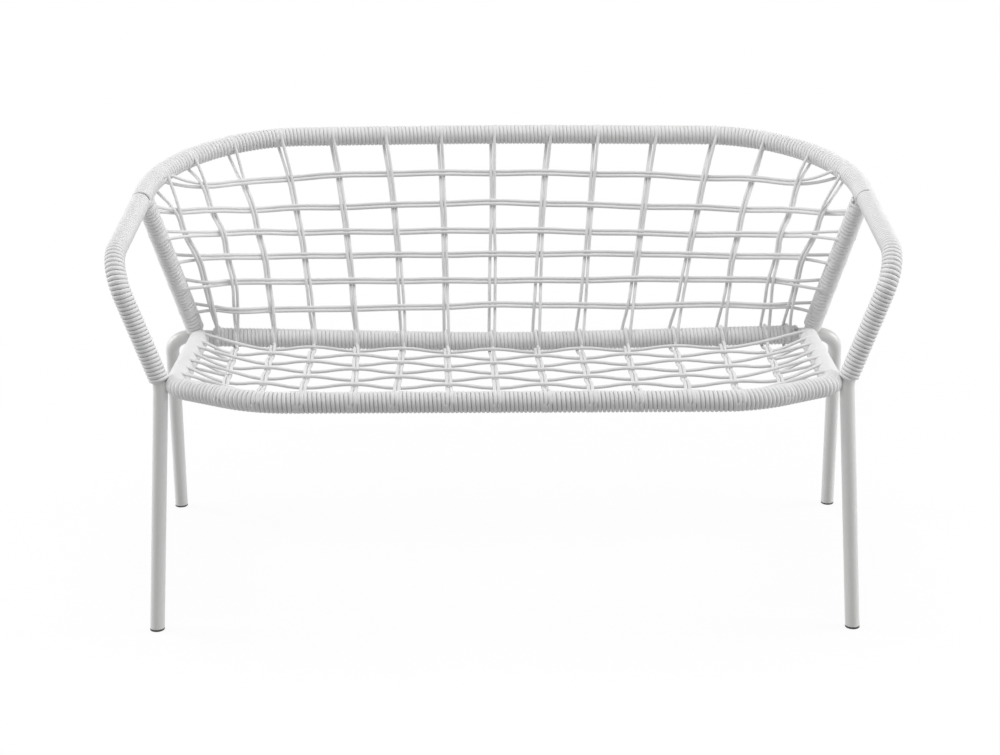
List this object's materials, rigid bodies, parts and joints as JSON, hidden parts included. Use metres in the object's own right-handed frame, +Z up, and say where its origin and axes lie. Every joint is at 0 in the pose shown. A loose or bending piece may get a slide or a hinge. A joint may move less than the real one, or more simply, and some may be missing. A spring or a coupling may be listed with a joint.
{
  "type": "garden bench",
  "caption": "Outdoor bench with arms: bent white steel tubes wound with cord, and an open woven cord net for the seat and the back.",
  "frame": {"origin": "on the ground, under the middle of the bench", "axes": "+X along the bench to the right as seen from the front, +Y to the back, +Z up"},
  "size_m": [1.3356, 0.7167, 0.7838],
  "materials": {
    "white_paint": "satin",
    "white_cord": "matte",
    "grey_plastic": "matte"
  },
  "bodies": {
    "root": {"arm_winding_left": "white_cord", "arm_winding_right": "white_cord", "back_cross_cord_1": "white_cord", "back_cross_cord_2": "white_cord", "back_cross_cord_3": "white_cord", "back_cross_cord_4": "white_cord", "back_cross_cord_5": "white_cord", "back_cross_cord_6": "white_cord", "back_long_cord_01": "white_cord", "back_long_cord_02": "white_cord", "back_long_cord_03": "white_cord", "back_long_cord_04": "white_cord", "back_long_cord_05": "white_cord", "back_long_cord_06": "white_cord", "back_long_cord_07": "white_cord", "back_long_cord_08": "white_cord", "back_long_cord_09": "white_cord", "back_long_cord_10": "white_cord", "back_long_cord_11": "white_cord", "back_long_cord_12": "white_cord", "back_long_cord_13": "white_cord", "back_long_cord_14": "white_cord", "back_long_cord_15": "white_cord", "back_top_rail": "white_paint", "back_upright_left": "white_paint", "back_upright_right": "white_paint", "front_foot_glides": "grey_plastic", "front_leg_and_arm_left": "white_paint", "front_leg_and_arm_right": "white_paint", "rear_foot_glides": "grey_plastic", "rear_legs_and_seat_rail": "white_paint", "rear_rail_winding": "white_cord", "seat_cross_cords": "white_cord", "seat_front_and_side_rails": "white_paint", "seat_long_cords_02": "white_cord", "seat_long_cords_03": "white_cord", "seat_long_cords_04": "white_cord", "seat_long_cords_05": "white_cord", "seat_long_cords_06": "white_cord", "seat_long_cords_07": "white_cord", "seat_long_cords_08": "white_cord", "seat_long_cords_09": "white_cord", "seat_long_cords_10": "white_cord", "seat_long_cords_11": "white_cord", "seat_long_cords_12": "white_cord", "seat_long_cords_13": "white_cord", "seat_long_cords_14": "white_cord", "seat_rail_winding": "white_cord", "top_rail_winding": "white_cord", "upright_winding_left": "white_cord", "upright_winding_right": "white_cord"}
  },
  "joints": []
}
